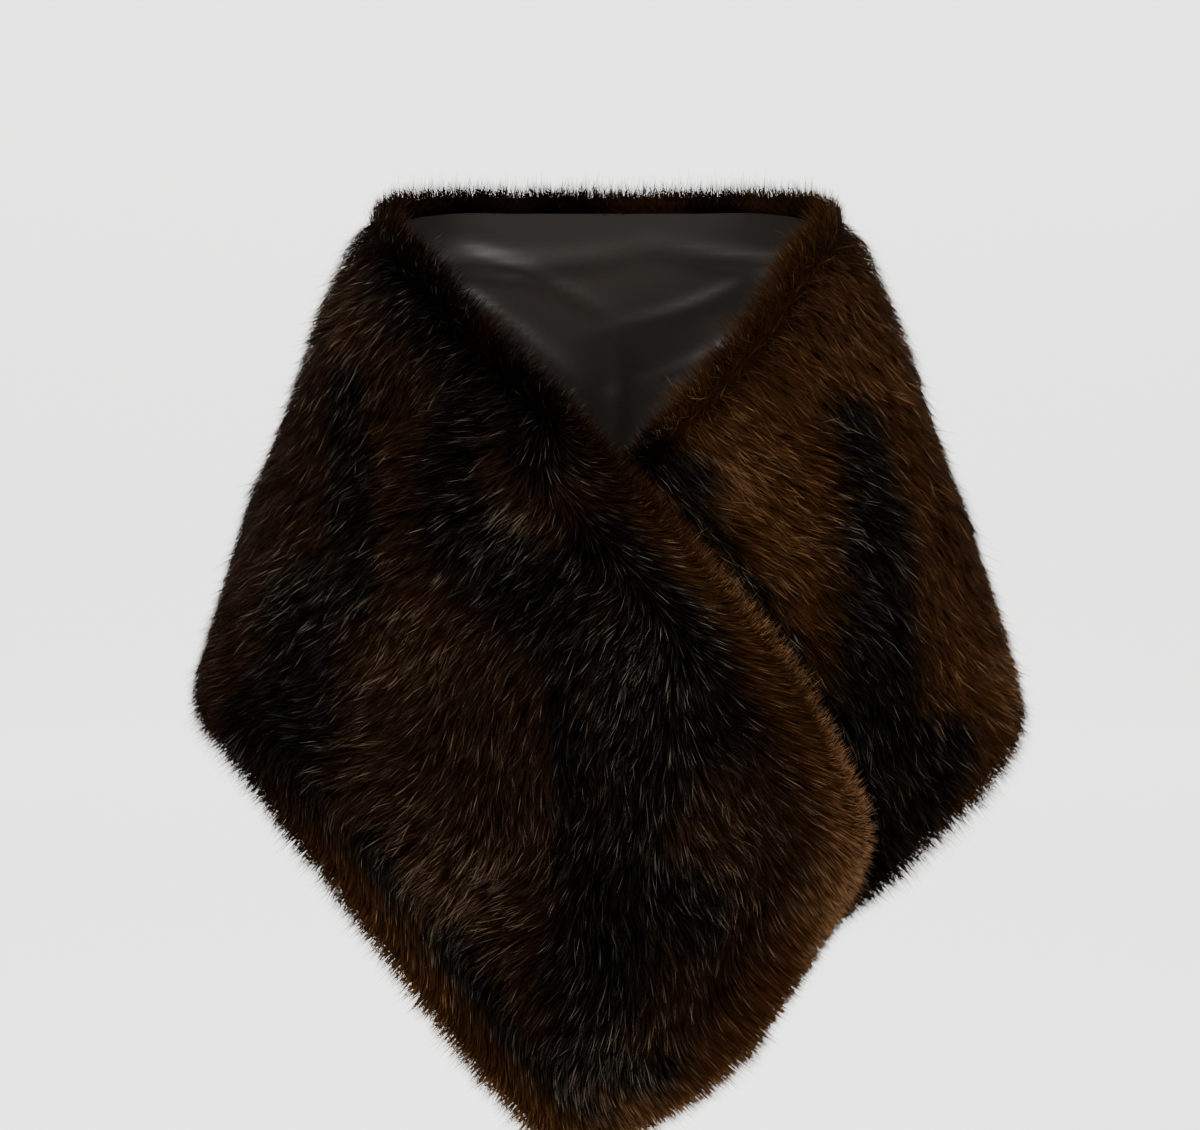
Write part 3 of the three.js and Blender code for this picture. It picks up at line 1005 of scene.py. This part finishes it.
def size_tuft(tuft):
    """Lengths, cropped at the free edges and where the under end is pressed flat."""
    length = HAIR_LENGTH * chances.uniform(0.72, 1.1, tuft.count)
    length = length * (1 + (0.3 * tuft.lock_chance[:, 1] - 0.15) * (1 - tuft.calm))
    cropped = chances.uniform(0, 1, tuft.count) ** 0.7
    cropped = np.where(tuft.across < 0.5, 0.28 + 0.46 * cropped, 0.05 + 0.5 * cropped)
    covered = smooth_step(under_reach(tuft.along, tuft.across), *COVERED_REACH)
    length = length * (1 - tuft.ring * cropped) * (1 - 0.22 * tuft.roll) * (1 - 0.5 * covered)
    tuft.guard = chances.uniform(0, 1, tuft.count) < GUARD_SHARE
    tuft.length = length * (1 + 0.1 * tuft.guard)


# %% Bend the hairs and gather them into locks
BEND_AT = 0.45
MIDDLE_NARROWING = 0.85
# how near the tip each of a ribbon's five points is
TIP_SHARES = np.array([0.05, 0.05, 0.5, 0.5, 1.0])


def bend_tuft(tuft):
    """Finds where each hair bends and where it ends, drawn towards the root of its lock."""
    tuft.bend = tuft.nap * np.cos(tuft.first_lift) + tuft.rise * np.sin(tuft.first_lift)
    flat = tuft.nap * np.cos(tuft.second_lift) + tuft.rise * np.sin(tuft.second_lift)
    middle = tuft.roots + tuft.bend * (BEND_AT * tuft.length)[:, None]
    tip = middle + flat * ((1 - BEND_AT) * tuft.length)[:, None]
    lock_offset, _ = shell_faces(tuft.lock_along, tuft.lock_across)
    tuft.lock_root = band_point(tuft.lock_along, tuft.lock_across, lock_offset)
    pull = tuft.lock_root - tuft.roots
    together = chances.uniform(0.1, 0.5, tuft.count) * (1 - tuft.strays) * (1 - tuft.calm)
    tuft.middle = middle + pull * (0.35 * together)[:, None]
    tuft.tip = tip + pull * together[:, None]


def ribbon_mesh(name, tuft):
    """Each hair is one quad and one triangle, turned by chance about its own length."""
    turn = np.radians(chances.uniform(-55, 55, tuft.count))[:, None]
    flank = unit(np.cross(tuft.rise, tuft.bend))
    spread = unit(flank * np.cos(turn) + np.cross(tuft.bend, flank) * np.sin(turn))
    width = HAIR_WIDTH * chances.uniform(0.75, 1.25, tuft.count) * (1 + 0.3 * tuft.guard)
    width = width * (1 - 0.15 * tuft.ring)
    half = spread * (0.5 * width)[:, None]
    points = np.stack([
        tuft.roots - half, tuft.roots + half,
        tuft.middle - half * MIDDLE_NARROWING, tuft.middle + half * MIDDLE_NARROWING,
        tuft.tip,
    ], axis=1).reshape(-1, 3)
    base = np.arange(tuft.count)[:, None] * len(TIP_SHARES)
    corners = (base + np.array([[0, 1, 3, 2, 2, 3, 4]])).ravel()
    return mesh_from_arrays(name, points, corners, np.tile([4, 3], tuft.count))


# %% Colour the hairs
STRIPE_BY_LOCK = 0.22
STRIPE_BLUR = 0.07
# paler tips along the lower crossing edge: partly a pale fringe of the roll, partly painted sheen
PALE_EDGE_AND_SHEEN_REACH = (16, 26)
PALE_EDGE_AND_SHEEN_RUN = (690, 880)


def colour_hairs(mesh, tuft):
    """Gives each hair the brown share of its lock, and its chance of a pale tip, raised by painted
    sheen.
    """
    brown = brown_share(tuft.lock_along, tuft.lock_across)
    brown = brown + STRIPE_BY_LOCK * (tuft.lock_chance[:, 2] - 0.5)
    brown = brown + chances.normal(0, STRIPE_BLUR, tuft.count)
    chance = 0.55 * chances.uniform(0, 1, tuft.count) + 0.2 * tuft.lock_chance[:, 1]
    # the sheen added here is painted sheen: paler tips where the pile bends to the light
    chance = (chance + 0.3 * tuft.guard) * 0.97 + sheen_share(tuft.lock_root, tuft.side)
    # paler tips along the lower part of the crossing edge: partly a pale fringe, partly painted
    # sheen
    pale_edge_and_sheen = crossing_share(tuft.along, tuft.across, *PALE_EDGE_AND_SHEEN_REACH)
    pale_edge_and_sheen = pale_edge_and_sheen * smooth_step(tuft.along, *PALE_EDGE_AND_SHEEN_RUN)
    golden = golden_share(tuft.lock_along, tuft.lock_across, tuft.lock_root)
    values = np.ones((tuft.count, len(TIP_SHARES), 4))
    values[:, :, 0] = np.clip(brown, 0, 1)[:, None]
    values[:, :, 1] = np.clip(chance + 0.4 * pale_edge_and_sheen, 0, 1)[:, None]
    values[:, :, 2] = TIP_SHARES
    values[:, :, 3] = golden[:, None]
    set_coat_numbers(mesh, values)


def grow_hairs(name, start, stop):
    """One piece of coat between two places along the cut."""
    tuft = root_tuft(start, stop)
    comb_tuft(tuft)
    lift_tuft(tuft)
    size_tuft(tuft)
    bend_tuft(tuft)
    mesh = ribbon_mesh(name, tuft)
    colour_hairs(mesh, tuft)
    return add_piece(name, mesh, coat)


# %% Grow the eight tufts
# name, the stretch it grows on, from, to
TUFTS = [
    ("hairs_back_left", "back", 0, SEAM_ALONG),
    ("hairs_back_right", "back", -SEAM_ALONG, 0),
    ("hairs_outer_shoulder", "outer_front", SEAM_ALONG, 560),
    ("hairs_outer_chest", "outer_front", 560, 850),
    ("hairs_outer_end", "outer_front", 850, 1150),
    ("hairs_under_shoulder", "under_front", -540, -SEAM_ALONG),
    ("hairs_under_chest", "under_front", -840, -540),
    ("hairs_under_end", "under_front", -1068, -840),
]
hairs = {stretch: [] for stretch in STRETCHES}
for name, stretch, start, stop in TUFTS:
    piece = grow_hairs(name, start, stop)
    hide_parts(f"fur_{stretch}")
    hairs[stretch].append(piece)
    print(name, len(piece.data.polygons) // 2, "hairs")

# %% [markdown]
# ## The satin lining
# The lining is a light satin, cut a little smaller than the fur so that the pile rolls over
# the edge. It is slack, so it drops into soft uneven folds. A simulation would find folds of
# its own, and a bump map would leave the outline flat. So each crease is a line of the cut
# that presses the thin wall inwards.

# %% The lining's creases
LINING_INSET = 22.0
LINING_THICKNESS = 1.2
LINING_STEP = 7.5
SAG_RUN = 18.0
CREASE_BOW = 0.06
# from (along, across), to (along, across), half width, height towards the inside
CREASES = [
    ((-330, 0.115), (-20, 0.1), 14, 5.4), ((-70, 0.108), (310, 0.1), 16, 5.8),
    ((-246, 0.12), (14, 0.44), 14, 6.4), ((244, 0.11), (-6, 0.47), 15, 6.8),
    ((-204, 0.1), (36, 0.3), 10, 4.0), ((196, 0.1), (-24, 0.28), 10, 4.2),
    ((-262, 0.17), (-70, 0.52), 12, 4.6), ((258, 0.16), (84, 0.55), 13, 4.8),
    ((-205, 0.24), (-228, 0.66), 13, 6.1),
    ((-150, 0.3), (-141, 0.9), 17, 7.6), ((-98, 0.25), (-112, 0.52), 10, 3.8),
    ((-62, 0.42), (-48, 0.93), 15, 6.5), ((-8, 0.27), (6, 0.61), 11, 4.6),
    ((38, 0.46), (27, 0.9), 16, 7.2), ((84, 0.26), (97, 0.74), 13, 5.5),
    ((139, 0.35), (131, 0.93), 17, 7.8), ((190, 0.24), (202, 0.58), 10, 4.0),
    ((232, 0.4), (221, 0.92), 15, 6.3), ((286, 0.2), (318, 0.63), 14, 5.7),
    ((352, 0.34), (338, 0.9), 18, 7.4), ((402, 0.14), (452, 0.5), 12, 4.9),
    ((437, 0.52), (470, 0.9), 16, 6.6), ((505, 0.13), (548, 0.47), 13, 5.3),
    ((560, 0.5), (602, 0.88), 17, 7.0), ((617, 0.14), (668, 0.44), 12, 4.4),
    ((700, 0.36), (748, 0.83), 16, 6.8), ((762, 0.12), (812, 0.4), 12, 4.8),
    ((838, 0.4), (890, 0.86), 17, 6.5), ((930, 0.16), (975, 0.6), 13, 5.1),
    ((1010, 0.3), (1042, 0.72), 14, 4.6), ((-268, 0.33), (-300, 0.8), 15, 6.6),
    ((-345, 0.2), (-372, 0.62), 12, 4.6), ((-398, 0.46), (-421, 0.91), 17, 7.4),
    ((-455, 0.15), (-492, 0.52), 13, 5.1), ((-520, 0.44), (-566, 0.88), 16, 6.3),
    ((-590, 0.13), (-640, 0.49), 12, 4.9), ((-668, 0.42), (-712, 0.87), 17, 6.8),
    ((-744, 0.16), (-789, 0.55), 13, 4.8), ((-838, 0.32), (-872, 0.84), 15, 6.1),
    ((-930, 0.2), (-958, 0.66), 13, 4.4),
]
print("creases:", len(CREASES), "and the deepest", max(crease[3] for crease in CREASES), "mm")


# %% The lining's recipe
THREAD_DARK = (0.0085, 0.0065, 0.0050, 1)
THREAD_LIGHT = (0.0150, 0.0120, 0.0096, 1)
WEAVE_SCALE = (220, 900, 1)
CLOUD_SCALE = 7.0


def satin_material():
    """A fine uneven weave, stretched along the thread, with a soft cloudy shade over it."""
    recipe = Recipe("satin")
    place = recipe.node("ShaderNodeUVMap", {"uv_map": "UVMap"})
    stretched = recipe.node("ShaderNodeMapping", None, {0: place, 3: WEAVE_SCALE})
    weave = recipe.node("ShaderNodeTexNoise", None, {"Vector": stretched, "Scale": 1.0})
    cloudy = recipe.node("ShaderNodeTexNoise", None, {"Vector": place, "Scale": CLOUD_SCALE})
    thread = recipe.mix(weave, THREAD_DARK, THREAD_LIGHT)
    colour = recipe.dim(thread, 0.8 + 0.4 * cloudy)
    bump = recipe.node("ShaderNodeBump", None, {"Strength": 0.12, "Distance": 0.0004,
                                                "Height": weave})
    return recipe.finish(Base_Color=colour, Roughness=0.36 + 0.12 * weave, Normal=bump,
                         Specular_IOR_Level=0.22)


satin = satin_material()
print("lining recipe:", satin.name)


# %% Press the creases into the lining
def crease_depth(along, across):
    """Depth of the lining's creases, each slightly bowed and fading out towards its ends."""
    total = np.zeros(len(along))
    for start, stop, half_width, height in CREASES:
        share, line, away = along_line(along, across, start, stop)
        bow = CREASE_BOW * np.linalg.norm(line) * np.sin(math.pi * share)
        sideways = np.array([-line[1], line[0]]) / np.linalg.norm(line)
        distance = np.linalg.norm(away - bow[:, None] * sideways, axis=1)
        fade = np.sin(math.pi * share) ** 0.8
        total += height * fade * np.exp(-2 * (distance / half_width) ** 2)
    return total


linings = {}
for stretch in STRETCHES:
    along, across = stretch_grid(stretch, LINING_INSET, LINING_STEP)
    fall = crease_depth(along.ravel(), across.ravel())
    edge = edge_distance(along.ravel(), across.ravel())
    fall = fall * smooth_step(edge, LINING_INSET, LINING_INSET + SAG_RUN)
    mesh = wall_mesh(f"satin_{stretch}", along, across, LINING_THICKNESS - fall, -fall)
    lining = add_piece(f"satin_{stretch}", mesh, satin)
    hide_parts(f"lining_{stretch}")
    linings[stretch] = lining
    print(lining.name, len(mesh.polygons), "faces, deepest crease", round(fall.max(), 1), "mm")

# %% [markdown]
# ## The sheets
# Each wall's flat cut is worked out: the width and length that the piece would be cut from.
# The two fronts have one rounded end, so their area is worked out too.

# %% Work out each wall's flat cut
AREA_STEP = 8.0


def cut_area(stretch, inset):
    """Area in square metres of a stretch of the cut, inside its inset edges."""
    along, across = stretch_grid(stretch, inset, AREA_STEP)
    length = np.abs(along[-1] - along[0])
    strips = (length[1:] + length[:-1]) / 2 * np.diff(across[0]) * BAND_WIDTH
    return float(np.sum(strips) / METRE ** 2)


FLAT_LENGTHS = {"back": 500.0, "outer_front": 899.0, "under_front": 817.0}
for stretch, length in FLAT_LENGTHS.items():
    for piece, inset, extra in ((fur_shells[stretch], SHELL_INSET, hairs[stretch]),
                                (linings[stretch], LINING_INSET, [])):
        free = inset if stretch != "back" else 0
        flat = ((length - free) / METRE, (BAND_WIDTH - 2 * inset) / METRE)
        cut_area(stretch, inset)
        print(piece.name, "cut", flat)

# %% [markdown]
# ## Floor and light
# Soft light from a large panel on each side and one above, with a near-white surround, shows
# dark fur best: the sheen comes from the panels and the surround fills the shadows. White paper
# leads from the floor up into a wall in one sweep, as in a studio, and glows a little, so that
# the dark outline stands on a pale, even ground.

# %% Floor and paper
FLOOR_Z = -1.45
FLOOR_HALF = 9.0
SWEEP_START = 0.3
SWEEP_FADE = 1.5
SWEEP_WALL = 7.5
SWEEP_TOP = 4.5
SWEEP_RADIUS = 2.0
SWEEP_GLOW = 1.8
SWEEP_STEPS = 24
SWEEP_LIFT = 0.004
PAPER = (0.93, 0.93, 0.92, 1)


def stage_strip(name, profile, material):
    """A strip as wide as the floor, along a line of (y, z) places."""
    points = [(x, y, z) for y, z in profile for x in (-FLOOR_HALF, FLOOR_HALF)]
    faces = [(2 * row, 2 * row + 2, 2 * row + 3, 2 * row + 1) for row in range(len(profile) - 1)]
    mesh = bpy.data.meshes.new(name)
    mesh.from_pydata(points, [], faces)
    mesh.materials.append(material)
    for face in mesh.polygons:
        face.use_smooth = True
    strip = bpy.data.objects.new(name, mesh)
    bpy.context.scene.collection.objects.link(strip)
    print(name, "has", len(faces), "faces")


def glowing_paper():
    """White paper whose glow fades in from its front edge, so that no line shows there."""
    recipe = Recipe("white_paper")
    place = recipe.node("ShaderNodeTexCoord", output="Object")
    depth = recipe.node("ShaderNodeSeparateXYZ", None, {0: place}, output="Y")
    fading = recipe.ramp(depth, SWEEP_START, SWEEP_START + SWEEP_FADE)
    colour = recipe.mix(fading, (0, 0, 0, 1), (1, 1, 0.99, 1))
    return recipe.finish(Base_Color=PAPER, Roughness=0.9, Emission_Color=colour,
                         Emission_Strength=SWEEP_GLOW)


stage_strip("floor", [(FLOOR_HALF, FLOOR_Z), (-FLOOR_HALF, FLOOR_Z)],
            Recipe("floor").finish(Base_Color=PAPER, Roughness=0.9))
sweep_foot = FLOOR_Z + SWEEP_LIFT
profile = [(SWEEP_WALL, SWEEP_TOP)]
for angle in np.radians(np.linspace(0, 90, SWEEP_STEPS + 1)).tolist():
    profile.append((SWEEP_WALL - SWEEP_RADIUS * (1 - math.cos(angle)),
                    sweep_foot + SWEEP_RADIUS * (1 - math.sin(angle))))
profile.append((SWEEP_START, sweep_foot))
stage_strip("paper_sweep", profile, glowing_paper())

# %% Surround and lamps
SURROUND_LIGHT = 0.42
world = bpy.data.worlds.new("studio")
world.use_nodes = True
background = world.node_tree.nodes["Background"]
background.inputs["Color"].default_value = (0.99, 0.99, 0.985, 1)
background.inputs["Strength"].default_value = SURROUND_LIGHT
bpy.context.scene.world = world


def area_lamp(name, place, aim, size, power):
    """A soft rectangular lamp at a place, turned to what it aims at."""
    data = bpy.data.lights.new(name, "AREA")
    data.shape = "RECTANGLE"
    data.size, data.size_y = size
    data.energy = power
    lamp = bpy.data.objects.new(name, data)
    lamp.location = place
    lamp.rotation_euler = (Vector(aim) - Vector(place)).to_track_quat("-Z", "Y").to_euler()
    bpy.context.scene.collection.objects.link(lamp)
    print(name, "lamp,", power, "watts")


area_lamp("key", (-1.5, -2.0, 1.6), (0, 0, -0.4), (0.6, 0.8), 165)
area_lamp("fill", (1.9, -1.7, 0.9), (0, 0, -0.4), (0.6, 0.9), 90)
area_lamp("above", (0.1, 0.4, 2.0), (0, 0, -0.3), (1.2, 0.7), 55)
